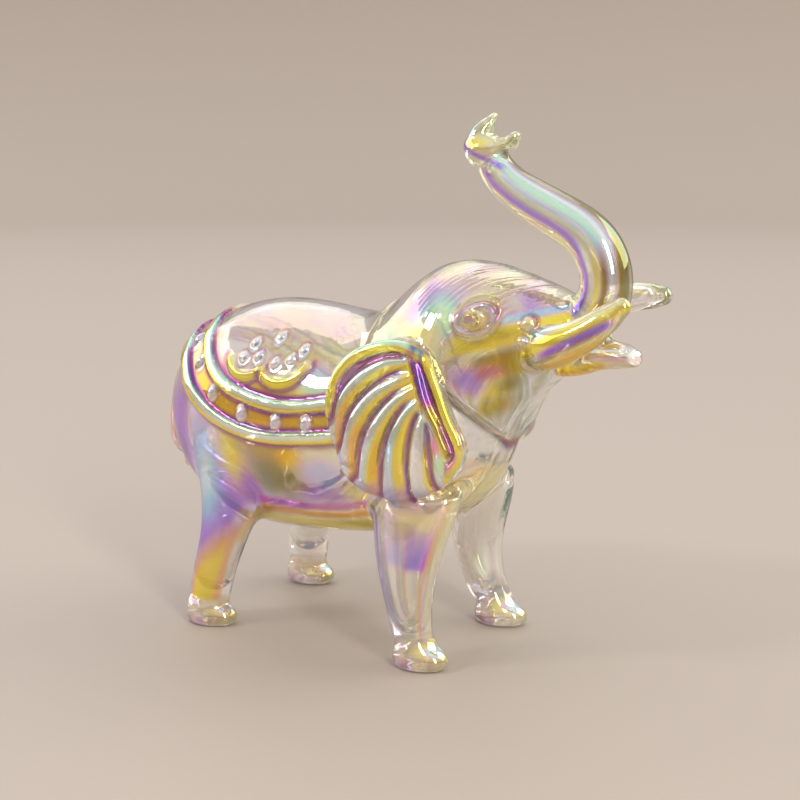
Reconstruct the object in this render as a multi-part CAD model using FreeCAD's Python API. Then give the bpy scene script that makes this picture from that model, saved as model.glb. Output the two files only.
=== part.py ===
import FreeCAD, Part
import math
import os

os.makedirs("parts", exist_ok=True)

# Hollow blown glass elephant, trunk raised, lustre coated.
# Millimetres. The elephant faces +X, its left side is +Y, its soles rest on Z = 0.
# Every station below is measured from the line between the rear feet; MIDDLE is the
# distance from that line to the middle of the whole length, where X = 0 lies.

MIDDLE = 31.3          # rear foot line to the middle of the length
WALL = 1.1             # blown glass wall of the body and trunk
LEG_WALL = 1.3         # drawn glass wall of the legs
TUSK_WALL = 1.0        # wall of the tusks and the lip
ANKLE = 5.0            # height where a leg tube sits on its solid foot
REAR_TRACK = 15.2      # rear foot centre from the middle plane
FRONT_TRACK = 14.0     # front foot centre from the middle plane
FRONT_FOOT = 44.8      # front foot centre ahead of the rear foot line
REAR_RIGHT_FOOT = -0.6 # rear right foot centre, set a little behind its twin
FRINGE = 14            # points round one body section

# One blown bubble from rump to muzzle: crest point (x, z), keel point (x, z), half width.
BUBBLE = [
    ((-15.4, 42.5), (-14.9, 34.5), 3.4),
    ((-14.4, 46.5), (-13.6, 29.5), 7.6),
    ((-11.6, 51.0), (-10.6, 25.0), 11.8),
    ((-7.2, 54.8), (-6.2, 20.8), 15.2),
    ((-1.0, 57.6), (0.0, 18.0), 17.6),
    ((7.0, 59.3), (8.5, 17.0), 18.8),
    ((16.0, 59.1), (18.0, 17.5), 19.0),
    ((23.5, 58.3), (30.0, 18.8), 18.8),
    ((28.0, 58.4), (40.5, 21.4), 18.0),
    ((31.0, 59.6), (49.0, 27.0), 17.0),
    ((34.0, 62.2), (54.0, 34.2), 16.2),
    ((38.0, 65.6), (57.0, 41.0), 15.2),
    ((43.6, 68.6), (60.8, 46.5), 13.6),
    ((50.2, 69.0), (65.0, 50.6), 11.5),
    ((57.4, 67.4), (68.6, 53.2), 9.2),
    ((63.0, 65.8), (70.4, 55.6), 6.8),
    ((66.6, 64.2), (71.2, 58.6), 3.8),
]
NECK = 10              # section of the bubble where the torso ends and the head starts
REACH = 80.0           # longer than any piece, for cutting blocks and extrusions


def place(x, y, z):
    return FreeCAD.Vector(x - MIDDLE, y, z)


def closed_wire(points):
    """A smooth closed wire through the points, with even parameters so lofts stay light."""
    steps = [i / len(points) for i in range(len(points) + 1)]
    curve = Part.BSplineCurve()
    curve.interpolate(Points=points, PeriodicFlag=True, Parameters=steps)
    return Part.Wire([curve.toShape()])


def loft(wires):
    return Part.makeLoft(wires, True, False)


def mirrored(shape):
    """The same piece on the other flank."""
    return shape.mirror(FreeCAD.Vector(0, 0, 0), FreeCAD.Vector(0, 1, 0))


# ---- the body bubble ----------------------------------------------------------------

def bubble_wire(crest, keel, half, shrink_long, shrink_wide):
    """One ellipse section standing between the crest and keel points."""
    mid = ((crest[0] + keel[0]) / 2, (crest[1] + keel[1]) / 2)
    up = ((crest[0] - keel[0]) / 2, (crest[1] - keel[1]) / 2)
    length = math.hypot(*up)
    scale = (length - shrink_long) / length
    points = []
    for i in range(FRINGE):
        turn = 2 * math.pi * i / FRINGE
        rise = math.sin(turn) * scale
        points.append(place(mid[0] + up[0] * rise,
                            (half - shrink_wide) * math.cos(turn),
                            mid[1] + up[1] * rise))
    return closed_wire(points)


def bubble_sizes():
    """Middle, half length and half width of each section."""
    sizes = []
    for crest, keel, half in BUBBLE:
        mid = ((crest[0] + keel[0]) / 2, (crest[1] + keel[1]) / 2)
        long = math.dist(crest, keel) / 2
        sizes.append((mid, long, half))
    return sizes


def bubble(inset=0.0, first=0, last=len(BUBBLE)):
    """The bubble grown outward (inset < 0) or inward (inset > 0), square to its skin."""
    sizes = bubble_sizes()
    wires = []
    for i in range(first, last):
        before = sizes[max(i - 1, 0)]
        after = sizes[min(i + 1, len(sizes) - 1)]
        travel = math.dist(before[0], after[0])
        slope_long = (after[1] - before[1]) / travel
        slope_wide = (after[2] - before[2]) / travel
        crest, keel, half = BUBBLE[i]
        wires.append(bubble_wire(crest, keel, half,
                                 inset * math.hypot(1, slope_long),
                                 inset * math.hypot(1, slope_wide)))
    return loft(wires)


def neck_block():
    """A block filling everything ahead of the neck plane."""
    crest, keel, _ = BUBBLE[NECK]
    block = Part.makeBox(REACH, 2 * REACH, 4 * REACH)
    block.translate(FreeCAD.Vector(0, -REACH, -2 * REACH))
    lean = math.degrees(math.atan2(keel[0] - crest[0], crest[1] - keel[1]))
    block.rotate(FreeCAD.Vector(0, 0, 0), FreeCAD.Vector(0, 1, 0), -lean)
    block.translate(place(crest[0], 0, crest[1]))
    return block


# ---- rods, tubes and solid gathers --------------------------------------------------

DOME_TURNS = (35, 62, 82)          # degrees round a closing dome where its stations stand


def rod(path, sizes, side=(0, 1, 0), count=12):
    """A loft of ellipses square to a path; sizes are (across the side, along it)."""
    side = FreeCAD.Vector(*side)
    wires = []
    for i, (x, y, z) in enumerate(path):
        back = FreeCAD.Vector(*path[max(i - 1, 0)])
        ahead = FreeCAD.Vector(*path[min(i + 1, len(path) - 1)])
        forward = (ahead - back).normalize()
        wide = (side - forward * side.dot(forward)).normalize()
        side = wide
        high = forward.cross(wide)
        centre = place(x, y, z)
        points = []
        for j in range(count):
            turn = 2 * math.pi * j / count
            points.append(centre + wide * (sizes[i][0] * math.cos(turn))
                          + high * (sizes[i][1] * math.sin(turn)))
        wires.append(closed_wire(points))
    return loft(wires)


def rounded(path, sizes, start=False, end=False):
    """Adds shrinking stations past the ends so that they close as domes."""
    path = list(path)
    sizes = list(sizes)
    for wanted, at, near in ((start, 0, 1), (end, -1, -2)):
        if not wanted:
            continue
        tip = path[at]
        inner = path[near]
        run = math.dist(tip, inner)
        out = [(a - b) / run for a, b in zip(tip, inner)]
        reach = min(sizes[at])
        base = sizes[at]
        for angle in DOME_TURNS:
            push = reach * math.sin(math.radians(angle))
            pull = math.cos(math.radians(angle))
            station = tuple(c + o * push for c, o in zip(tip, out))
            size = (base[0] * pull, base[1] * pull)
            if at == 0:
                path.insert(0, station)
                sizes.insert(0, size)
            else:
                path.append(station)
                sizes.append(size)
    return path, sizes


def stack(levels, count=14):
    """A loft of level ellipses: (x, y, z, half length in x, half width in y)."""
    wires = []
    for x, y, z, long, wide in levels:
        points = []
        for j in range(count):
            turn = 2 * math.pi * j / count
            points.append(place(x + long * math.cos(turn), y + wide * math.sin(turn), z))
        wires.append(closed_wire(points))
    return loft(wires)


CORE = 38.0            # height of the body's middle line
BEAD_ROOT = 1.6        # how deep a bead is rooted below the skin
BEAD_NECK = 0.3        # height where its dome starts
BEAD_LEAN = (0.9, 0, -0.4)         # direction of its short side


def bead(x, y, z, short, long, core=CORE):
    """A domed drop of glass rooted in the flank and pointing away from the core height."""
    out = FreeCAD.Vector(0, y, z - core).normalize()
    root = (x, y - BEAD_ROOT * out.y, z - BEAD_ROOT * out.z)
    neck = (x, y + BEAD_NECK * out.y, z + BEAD_NECK * out.z)
    path, sizes = rounded([root, neck], [(short, long)] * 2, end=True)
    return rod(path, sizes, side=BEAD_LEAN, count=10)


# ---- legs and feet ------------------------------------------------------------------

REAR_LEG = [           # right leg: x, y, z, half length, half width, from ankle to hip
    (-0.1, 15.2, ANKLE, 4.0, 3.6),
    (0.7, 15.1, 9.0, 4.2, 3.7),
    (2.1, 14.9, 13.5, 4.4, 4.0),
    (3.6, 14.3, 18.5, 5.1, 4.6),
    (4.6, 13.4, 24.0, 6.8, 5.3),
    (5.0, 12.4, 30.0, 8.4, 5.8),
]
REAR_LEFT_LEG = [      # drawn straighter than its twin above the foot
    (0.4, 15.2, ANKLE, 3.8, 3.5),
    (0.4, 15.1, 9.0, 4.3, 3.8),
    (1.2, 14.9, 13.5, 4.7, 4.1),
    (2.8, 14.3, 18.5, 5.2, 4.6),
    (4.2, 13.4, 24.0, 6.4, 5.2),
    (5.0, 12.4, 30.0, 7.6, 5.6),
]
FRONT_LEG = [          # right leg
    (44.2, 14.0, ANKLE, 3.6, 3.5),
    (43.4, 14.0, 9.5, 4.0, 3.8),
    (43.0, 13.9, 15.0, 5.0, 4.5),
    (42.9, 13.4, 20.0, 6.2, 5.1),
    (43.0, 12.4, 25.5, 7.8, 5.5),
    (43.2, 11.0, 31.0, 9.0, 5.6),
]
FRONT_LEFT_LEG = [     # bowed back below the shoulder
    (43.6, 14.0, ANKLE, 3.9, 3.6),
    (41.6, 14.0, 9.5, 4.2, 3.9),
    (40.6, 13.9, 15.0, 4.8, 4.4),
    (41.0, 13.4, 20.0, 5.5, 4.9),
    (42.0, 12.4, 25.5, 6.3, 5.2),
    (43.0, 11.0, 31.0, 6.6, 5.0),
]


BORE_START = 1.2       # height of the bore's end above the ankle
BORE_ROUND = 1.0       # how much narrower the bore is at that end


def leg(levels, skin):
    """A drawn tube, open where it is welded against the body's skin."""
    bore = [(x, y, z, long - LEG_WALL, wide - LEG_WALL) for x, y, z, long, wide in levels]
    x, y, z, long, wide = bore[0]
    bore[0] = (x, y, z + BORE_START, long - BORE_ROUND, wide - BORE_ROUND)
    return stack(levels).cut(stack(bore)).cut(skin)


FOOT_LEVELS = [        # ahead of the foot centre, height, half length, half width
    (0.5, 0.0, 3.9, 3.3),
    (0.5, 0.7, 4.6, 3.9),
    (0.4, 1.9, 4.7, 4.0),
    (0.1, 3.4, 4.1, 3.7),
]
TOE_LEVELS = [
    (3.0, 0.0, 2.1, 2.2),
    (3.1, 1.0, 2.9, 2.8),
    (3.0, 2.2, 2.9, 2.8),
    (2.6, 3.4, 2.1, 2.1),
    (2.2, 4.0, 0.8, 0.8),
]


def foot(x, y, ankle):
    """A solid pressed gather with a flat sole and a rounded toe leaning forward."""
    levels = [(x + ahead, y, z, long, wide) for ahead, z, long, wide in FOOT_LEVELS]
    levels.append((ankle[0], y, ANKLE, ankle[3], ankle[4]))
    toe = stack([(x + ahead, y, z, long, wide) for ahead, z, long, wide in TOE_LEVELS])
    return stack(levels).fuse(toe)


# ---- trunk --------------------------------------------------------------------------

TRUNK = [              # x, z, radius along the middle plane, from the face to the tip
    (66.0, 57.6, 3.6),
    (70.0, 61.0, 4.3),
    (72.4, 65.6, 4.4),
    (71.9, 70.2, 4.3),
    (68.7, 74.6, 4.1),
    (63.2, 77.6, 3.9),
    (57.8, 80.2, 3.6),
    (53.5, 83.0, 3.2),
    (50.9, 86.4, 2.9),
]


def trunk_rod(inset=0.0):
    path = [(x, 0.0, z) for x, z, _ in TRUNK]
    return rod(path, [(radius - inset, radius - inset) for _, _, radius in TRUNK])


def trunk(skin):
    return trunk_rod().cut(trunk_rod(WALL)).cut(skin)


TIP_CUP = [(50.6, 0, 86.2), (50.2, 0, 87.0), (49.9, 0, 88.2), (50.0, 0, 89.6),
           (50.4, 0, 90.5)]
TIP_CUP_SIZES = [(3.0, 3.0), (3.5, 3.7), (3.7, 4.2), (3.0, 3.6), (1.8, 2.2)]
TIP_POINTED = [(48.4, 0, 88.0), (48.6, 0, 90.0), (49.8, 0, 92.0), (51.2, 0, 93.5)]
TIP_POINTED_SIZES = [(3.0, 2.0), (2.8, 1.9), (1.9, 1.3), (0.8, 0.6)]
TIP_BLUNT = [(50.5, 0, 87.6), (52.6, 0, 88.3), (54.4, 0, 89.2), (55.2, 0, 90.2)]
TIP_BLUNT_SIZES = [(2.8, 1.8), (2.6, 1.7), (2.0, 1.3), (1.3, 0.9)]
TIP_TRIM = (4.2, 3.0)  # radius and height of the trunk's end that the tip is trimmed to


def trunk_tip():
    """A solid cup pinched into two lips, one pointed and one rounded."""
    pointed = rod(*rounded(TIP_POINTED, TIP_POINTED_SIZES, end=True))
    blunt = rod(*rounded(TIP_BLUNT, TIP_BLUNT_SIZES, end=True))
    end_x, end_z, _ = TRUNK[-1]
    before_x, before_z, _ = TRUNK[-2]
    radius, height = TIP_TRIM
    below = Part.makeCylinder(radius, height)
    below.translate(FreeCAD.Vector(0, 0, -height))
    lean = math.degrees(math.atan2(end_x - before_x, end_z - before_z))
    below.rotate(FreeCAD.Vector(0, 0, 0), FreeCAD.Vector(0, 1, 0), lean)
    below.translate(place(end_x, 0, end_z))
    return rod(TIP_CUP, TIP_CUP_SIZES).fuse(pointed).fuse(blunt).cut(below)


# ---- tusks, lip, eyes, tail -----------------------------------------------------------

RIGHT_TUSK = [(62.6, 7.2, 55.6), (66.0, 8.4, 56.6), (70.0, 8.9, 58.0), (74.0, 8.8, 60.2),
              (77.6, 8.3, 63.0), (79.2, 8.0, 64.4)]
RIGHT_TUSK_SIZES = [(2.4, 3.2), (2.9, 3.6), (2.9, 3.3), (2.5, 2.8), (1.9, 2.1), (1.4, 1.6)]
LEFT_TUSK = [(62.6, 7.2, 57.4), (66.0, 8.4, 60.2), (70.0, 8.9, 62.7), (74.0, 8.8, 63.9),
             (77.6, 8.3, 64.2), (79.2, 8.0, 64.4)]
LEFT_TUSK_SIZES = [(2.4, 3.0), (2.8, 3.0), (2.7, 2.7), (2.4, 2.4), (1.9, 2.0), (1.4, 1.6)]
TUSK_DROP = (62.9, 9.3, 60.6, 1.4, 1.4)    # bead above the tusk's root
TUSK_DROP_CORE = 58.6                      # height it points away from
LIP = [(62.0, 0, 52.6), (66.0, 0, 53.4), (70.0, 0, 54.3), (74.0, 0, 55.2),
       (76.6, 0, 55.1), (77.4, 0, 55.0)]
LIP_SIZES = [(4.4, 2.6), (4.6, 2.6), (4.2, 2.5), (3.6, 2.4), (2.7, 2.0), (2.2, 1.7)]
LID_SIZE = (3.7, 1.6, 2.0)                 # half length, half depth, half height
LID_CENTRE = (54.7, 11.6, 61.0)
LID_LEAN = -24                             # degrees nose up
LID_TURN = -18                             # degrees round to follow the cheek
PUPIL = (54.7, 12.7, 61.2, 1.1, 1.1)
PUPIL_CORE = 59.0
TAIL = [(-13.2, 0.0, 49.5), (-15.6, -1.2, 45.5), (-16.8, -3.0, 40.5),
        (-16.4, -4.6, 35.5), (-14.6, -5.4, 30.5), (-12.6, -5.6, 27.0)]
TAIL_SIZES = [(1.3, 1.3), (1.5, 1.5), (1.4, 1.4), (1.3, 1.3), (1.5, 1.5), (0.9, 0.9)]


def tusk(path, sizes, skin):
    """A fat hollow lobe that starts on the left cheek and sweeps forward to its tip,
    with a bead of glass above its root."""
    bore = [(a - TUSK_WALL, b - TUSK_WALL) for a, b in sizes[:-1]]
    outer = rod(*rounded(path, sizes, start=True, end=True))
    drop = bead(*TUSK_DROP, core=TUSK_DROP_CORE).cut(outer)
    return outer.cut(rod(path[:-1], bore)).fuse(drop).cut(skin).cut(trunk_rod())


def lip(skin):
    """Lower lip: a drooping tongue whose tip turns up again."""
    return rod(*rounded(LIP, LIP_SIZES, end=True)).cut(skin)


def eye(skin):
    """Left eye: an almond lid pressed proud of the cheek, with a round pupil on it."""
    lid = Part.makeSphere(1.0)
    stretch = FreeCAD.Matrix()
    stretch.scale(*LID_SIZE)
    lid = lid.transformGeometry(stretch)
    lid.rotate(FreeCAD.Vector(0, 0, 0), FreeCAD.Vector(0, 1, 0), LID_LEAN)
    lid.rotate(FreeCAD.Vector(0, 0, 0), FreeCAD.Vector(0, 0, 1), LID_TURN)
    lid.translate(place(*LID_CENTRE))
    return lid.fuse(bead(*PUPIL, core=PUPIL_CORE)).cut(skin)


def tail(skin):
    """A drawn thread of glass lying down the rump, its end swept to the right."""
    return rod(*rounded(TAIL, TAIL_SIZES, start=True, end=True)).cut(skin)


# ---- ears ---------------------------------------------------------------------------

EAR_THICK = 2.0        # glass of the flap
EAR_OUT = 20.4         # the flap's outer face from the middle plane, where it stands widest
EAR_WIDEST = (31.0, 38.0)          # side view point where it stands widest
EAR_BOW_LONG = 0.0045  # how fast it curves in along the body
EAR_BOW_UP = 0.011     # and upward from its widest point
EAR_BOW_DOWN = 0.006   # and downward
EAR_SPAN = (24, 64)    # side view span of the flap's surface, the same in x and z
LOBE_SINK = 0.2        # how deep the lobes' middle lines lie in the flap
LOBE_LEAN = (1, 0, -1) # direction across a lobe
EAR = [                # outline in side view
    (47.0, 55.8), (43.0, 57.1), (39.4, 56.4), (35.8, 55.1), (32.7, 53.1), (30.9, 50.0),
    (30.6, 46.3), (31.2, 42.1), (32.2, 38.0), (33.8, 34.2), (36.4, 31.4), (40.4, 29.7),
    (45.2, 29.4), (49.2, 31.0), (52.6, 33.6), (55.0, 36.8), (55.9, 40.0), (54.5, 43.4),
    (52.4, 47.2), (50.2, 51.8),
]
EAR_LOBES = [          # middle lines of the fluted lobes, from the fold to the far edge
    [(44.6, 53.6), (40.6, 52.8), (36.4, 49.6), (33.4, 45.6), (32.6, 40.6)],
    [(46.4, 51.6), (42.6, 49.8), (38.6, 46.4), (35.9, 41.6), (35.2, 35.6)],
    [(47.6, 49.8), (44.2, 47.4), (41.2, 43.2), (39.4, 38.4), (38.4, 32.6)],
    [(48.4, 47.8), (45.8, 45.0), (44.4, 41.2), (43.8, 36.6), (44.0, 31.6)],
    [(49.4, 46.2), (48.6, 42.8), (48.4, 39.2), (48.6, 35.6), (49.0, 32.8)],
    [(50.4, 44.6), (51.2, 41.8), (52.0, 39.0), (52.4, 36.8), (52.6, 35.4)],
]
LOBE_SIZES = [(0.5, 0.5), (1.1, 0.8), (1.6, 1.0), (1.9, 1.1), (1.5, 0.8)]
LAST_LOBE_SIZES = [(0.4, 0.4), (0.6, 0.5), (0.9, 0.7), (1.0, 0.7), (0.8, 0.5)]
EAR_TONGUE = [(45.6, 54.4), (47.4, 50.4), (49.2, 46.6), (51.4, 43.2), (53.4, 39.6)]
EAR_FOLD = [(48.0, 54.2), (50.0, 50.8), (51.8, 47.4), (53.4, 44.2), (55.0, 41.2),
            (55.2, 38.8), (53.8, 36.4)]
EAR_ROLL = [(46.6, 54.8), (43.4, 55.8), (39.6, 55.6), (36.2, 54.4), (33.5, 52.4),
            (32.0, 50.0), (31.4, 47.2), (31.6, 44.0)]
FOLD = 0.9             # radius of the two welts of the front fold
ROLL = 1.2             # radius of the rolled top edge
LEFT_SWING = 12.0      # degrees the left ear is swung back about its hinge
LEFT_SHIFT = 2.5       # and set back towards the shoulder


def flap(x, z):
    """Distance of the ear's outer face from the middle plane: a shallow dish."""
    along = x - EAR_WIDEST[0]
    lift = z - EAR_WIDEST[1]
    bow = EAR_BOW_UP if lift > 0 else EAR_BOW_DOWN
    return EAR_OUT - EAR_BOW_LONG * along ** 2 - bow * lift * lift


def over_flap(line, lift):
    """The stations of a side view line, lifted off the ear's outer face."""
    return [(x, flap(x, z) + lift, z) for x, z in line]


def ear():
    """Left ear: a fluted fan that stands off the flank, joined along its top and back."""
    grid = []
    for x in range(*EAR_SPAN, 6):
        grid.append([place(x, flap(x, z), z) for z in range(*EAR_SPAN, 4)])
    face = Part.BSplineSurface()
    face.interpolate(grid)
    slab = face.toShape().extrude(FreeCAD.Vector(0, -EAR_THICK, 0))
    outline = Part.Face(closed_wire([place(x, 0, z) for x, z in EAR]))
    shape = slab.common(outline.extrude(FreeCAD.Vector(0, REACH, 0)))
    pieces = []
    for line in EAR_LOBES:
        sizes = LAST_LOBE_SIZES if line is EAR_LOBES[-1] else LOBE_SIZES
        path = over_flap(line, -LOBE_SINK)
        pieces.append(rod(path, sizes, side=LOBE_LEAN, count=8))
    for line, radius in ((EAR_TONGUE, FOLD), (EAR_FOLD, FOLD), (EAR_ROLL, ROLL)):
        sizes = [(radius, radius)] * len(line)
        path, sizes = rounded(over_flap(line, 0.0), sizes, start=True, end=True)
        pieces.append(rod(path, sizes, side=(0, 1, 0), count=10))
    return shape.fuse(pieces)


def swung_back(shape):
    """The left ear as it was set: turned about its hinge and moved back."""
    hinge_x, hinge_z = EAR_ROLL[0]
    shape.rotate(place(hinge_x, 0, hinge_z), FreeCAD.Vector(0, 1, 0), LEFT_SWING)
    shape.translate(FreeCAD.Vector(-LEFT_SHIFT, 0, 0))
    return shape


# ---- saddle blanket: relief pressed proud of the back ---------------------------------

CLOTH = 0.5            # blanket skin above the body skin
RIM = 1.3              # outer rim above the body skin
BRAID = 1.1            # inner rim above the body skin
SCROLL = 1.1           # radius of the scroll waves
BEAD = (1.05, 1.6)     # half width and half length of the oval beads
MEDALLION_BEAD = (0.9, 1.2)
BLANKET = [            # outline in side view; the top lies above the back, the front
                       # edge lies under the ears
    (-14.0, 64.0), (-11.4, 52.6), (-7.4, 48.0), (-2.6, 43.2), (3.4, 39.8), (9.8, 37.8),
    (17.0, 37.0), (24.0, 37.6), (30.0, 38.4), (34.2, 40.4), (34.8, 46.0), (33.8, 54.0),
    (32.8, 62.0), (28.0, 70.0), (10.0, 74.0), (-8.0, 70.0),
]
BLANKET_INSIDE = [     # inner edge of the outer rim
    (-11.0, 66.0), (-8.9, 53.6), (-5.2, 49.6), (-1.2, 45.2), (4.4, 41.8), (10.2, 39.8),
    (17.0, 39.0), (24.0, 39.6), (30.0, 40.4), (37.0, 42.0), (38.4, 46.0), (37.4, 54.0),
    (36.4, 64.0), (31.0, 72.0), (11.0, 76.0), (-6.0, 72.0),
]
BRAID_EDGE = [         # outer edge of the inner rim
    (-7.0, 66.0), (-4.6, 55.4), (-2.2, 52.0), (2.0, 47.8), (7.2, 45.0), (12.4, 43.6),
    (18.4, 42.8), (24.0, 43.2), (29.0, 44.2), (33.0, 46.0), (33.6, 50.0), (32.8, 56.0),
    (31.8, 64.0), (27.0, 72.0), (12.0, 76.0), (-3.0, 72.0),
]
BRAID_INSIDE = [
    (-4.6, 68.0), (-2.6, 56.0), (-0.6, 53.4), (3.2, 49.4), (7.9, 46.7), (12.6, 45.3),
    (18.4, 44.5), (24.0, 44.9), (29.0, 45.9), (36.0, 48.0), (37.6, 52.0), (36.6, 58.0),
    (35.4, 66.0), (30.0, 74.0), (13.0, 78.0), (0.0, 74.0),
]
BEADS = [(-5.0, 52.0), (-1.2, 49.0), (4.0, 44.4), (11.4, 41.6), (19.0, 40.9), (25.4, 41.4)]
SCROLLS = [            # two scroll waves of the medallion
    [(6.4, 50.6), (8.2, 48.6), (11.4, 48.0), (13.8, 49.6)],
    [(14.8, 48.6), (17.4, 47.4), (20.8, 48.0), (23.2, 50.6)],
]
MEDALLION_BEADS = [(9.4, 50.8), (12.8, 51.2), (10.8, 53.2), (16.6, 50.4), (19.6, 51.2),
                   (21.4, 52.8), (15.4, 54.4)]


def reach(skin, x, z):
    """Half width of the skin at a point of the side view."""
    feeler = Part.makeLine(place(x, 0, z), place(x, REACH, z))
    return skin.common(feeler).Length


def side_face(outline):
    return Part.Face(closed_wire([place(x, -REACH / 2, z) for x, z in outline]))


def pressed(face, proud):
    """Glass pressed proud of the skin wherever the face covers the side view."""
    return bubble(-proud).common(face.extrude(FreeCAD.Vector(0, REACH, 0)))


def blanket(skin, ears):
    cloth = pressed(side_face(BLANKET), CLOTH)
    rim = pressed(side_face(BLANKET).cut(side_face(BLANKET_INSIDE)), RIM)
    braid = pressed(side_face(BRAID_EDGE).cut(side_face(BRAID_INSIDE)), BRAID)
    trims = []
    for points, size in ((BEADS, BEAD), (MEDALLION_BEADS, MEDALLION_BEAD)):
        for x, z in points:
            drop = bead(x, reach(skin, x, z), z, *size)
            trims += [drop, mirrored(drop)]
    for wave in SCROLLS:
        path = [(x, reach(skin, x, z), z) for x, z in wave]
        scroll = rod(path, [(SCROLL, SCROLL)] * len(path), count=10)
        trims += [scroll, mirrored(scroll)]
    shape = cloth.fuse(rim).fuse(braid)
    for trim in trims:
        shape = shape.fuse(trim)
    shape = shape.cut(skin)
    for piece in ears:
        shape = shape.cut(piece)
    return shape


# ---- assembly -----------------------------------------------------------------------

def largest(shape):
    """The piece itself, without the slivers a cut can leave."""
    return max(shape.Solids, key=lambda solid: solid.Volume)


def build():
    skin = bubble()
    hollow = bubble(WALL, 1, len(BUBBLE) - 1)
    ahead = neck_block()
    shell = skin.cut(hollow)
    pieces = {}
    pieces["torso_bulb"] = shell.cut(ahead)
    pieces["head_bulb"] = shell.common(ahead)

    pieces["front_left_leg"] = leg(FRONT_LEFT_LEG, skin)
    pieces["front_right_leg"] = mirrored(leg(FRONT_LEG, skin))
    pieces["rear_left_leg"] = leg(REAR_LEFT_LEG, skin)
    pieces["rear_right_leg"] = mirrored(leg(REAR_LEG, skin))
    pieces["front_left_foot"] = foot(FRONT_FOOT, FRONT_TRACK, FRONT_LEFT_LEG[0])
    pieces["front_right_foot"] = mirrored(foot(FRONT_FOOT, FRONT_TRACK, FRONT_LEG[0]))
    pieces["rear_left_foot"] = foot(0.0, REAR_TRACK, REAR_LEFT_LEG[0])
    pieces["rear_right_foot"] = mirrored(foot(REAR_RIGHT_FOOT, REAR_TRACK, REAR_LEG[0]))

    pieces["trunk_tube"] = trunk(skin)
    pieces["trunk_tip"] = trunk_tip()

    left_tusk = tusk(LEFT_TUSK, LEFT_TUSK_SIZES, skin)
    right_tusk = mirrored(tusk(RIGHT_TUSK, RIGHT_TUSK_SIZES, skin))
    pieces["left_tusk"] = left_tusk
    pieces["right_tusk"] = right_tusk
    pieces["lower_lip"] = lip(skin).cut(left_tusk).cut(right_tusk).cut(trunk_rod())

    pieces["left_eye"] = eye(skin)
    pieces["right_eye"] = mirrored(pieces["left_eye"])

    fan = ear()
    right_ear = mirrored(fan.cut(skin).cut(stack(FRONT_LEG)))
    left_ear = swung_back(fan).cut(skin).cut(stack(FRONT_LEFT_LEG))
    pieces["left_ear"] = left_ear
    pieces["right_ear"] = right_ear

    cloth = blanket(skin, [left_ear, right_ear])
    pieces["saddle_blanket"] = cloth
    pieces["tail"] = tail(skin).cut(cloth)
    return pieces


for name, shape in build().items():
    largest(shape).exportStep(os.path.join("parts", name + ".step"))
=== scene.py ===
"""Looks of the hollow blown glass elephant.

All the glass is one fused skin, as on the real figurine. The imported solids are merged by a
fine voxel remesh, the welds are melted into fillets, the pressed relief is raised, and the
skin is shared out again to one piece per CAD node. Hollow pieces get the inner face of
their wall too. Metres, the elephant faces +X, up is +Z.
"""

import math

import bpy
import bmesh
import numpy as np
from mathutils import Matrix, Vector
from mathutils.bvhtree import BVHTree


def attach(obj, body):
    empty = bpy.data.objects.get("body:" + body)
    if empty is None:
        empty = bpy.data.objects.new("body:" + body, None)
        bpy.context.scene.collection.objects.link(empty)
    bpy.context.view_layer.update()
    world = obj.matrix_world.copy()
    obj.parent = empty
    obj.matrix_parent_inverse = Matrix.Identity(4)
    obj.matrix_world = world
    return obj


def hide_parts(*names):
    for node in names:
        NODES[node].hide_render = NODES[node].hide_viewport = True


MM = 0.001
MIDDLE = 31.3              # mm from the rear foot line, where stations are counted from
VOXEL = 0.3 * MM           # grain of the skin's remesh
BODY_VOXEL = 2 * VOXEL     # of the bubble that the inner wall is offset from
WALL_VOXEL = 1.4 * VOXEL   # of the inner wall
WALL = {                   # wall thickness of the hollow pieces, in metres
    "bubble": 1.1 * MM,
    "leg": 1.3 * MM,
    "trunk": 1.1 * MM,
    "tusk": 0.9 * MM,
}

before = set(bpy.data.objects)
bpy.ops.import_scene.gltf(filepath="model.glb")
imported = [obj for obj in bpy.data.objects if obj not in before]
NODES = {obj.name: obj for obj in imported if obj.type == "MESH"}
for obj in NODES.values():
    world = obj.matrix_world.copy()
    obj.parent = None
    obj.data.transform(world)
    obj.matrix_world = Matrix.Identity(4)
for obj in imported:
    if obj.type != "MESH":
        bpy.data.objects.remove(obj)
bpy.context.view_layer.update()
NAMES = sorted(NODES)


# ---- meshes as arrays ---------------------------------------------------------------

def vectors_of(mesh, what):
    flat = np.empty(len(mesh.vertices) * 3, np.float32)
    mesh.vertices.foreach_get(what, flat)
    return flat.reshape(-1, 3).astype(float)


def points_of(mesh):
    return vectors_of(mesh, "co")


def normals_of(mesh):
    return vectors_of(mesh, "normal")


def set_points(mesh, points):
    mesh.vertices.foreach_set("co", points.astype(np.float32).ravel())
    mesh.update()


def corners_of(parts, count):
    """The vertex numbers of faces or edges that all have the same count of them."""
    flat = np.empty(len(parts) * count, np.int32)
    parts.foreach_get("vertices", flat)
    return flat.reshape(-1, count)


def quads_of(mesh):
    return corners_of(mesh.polygons, 4)


def merged(names):
    """One mesh of the named CAD solids."""
    gather = bmesh.new()
    for name in names:
        gather.from_mesh(NODES[name].data)
    mesh = bpy.data.meshes.new("merged")
    gather.to_mesh(mesh)
    gather.free()
    return mesh


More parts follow.
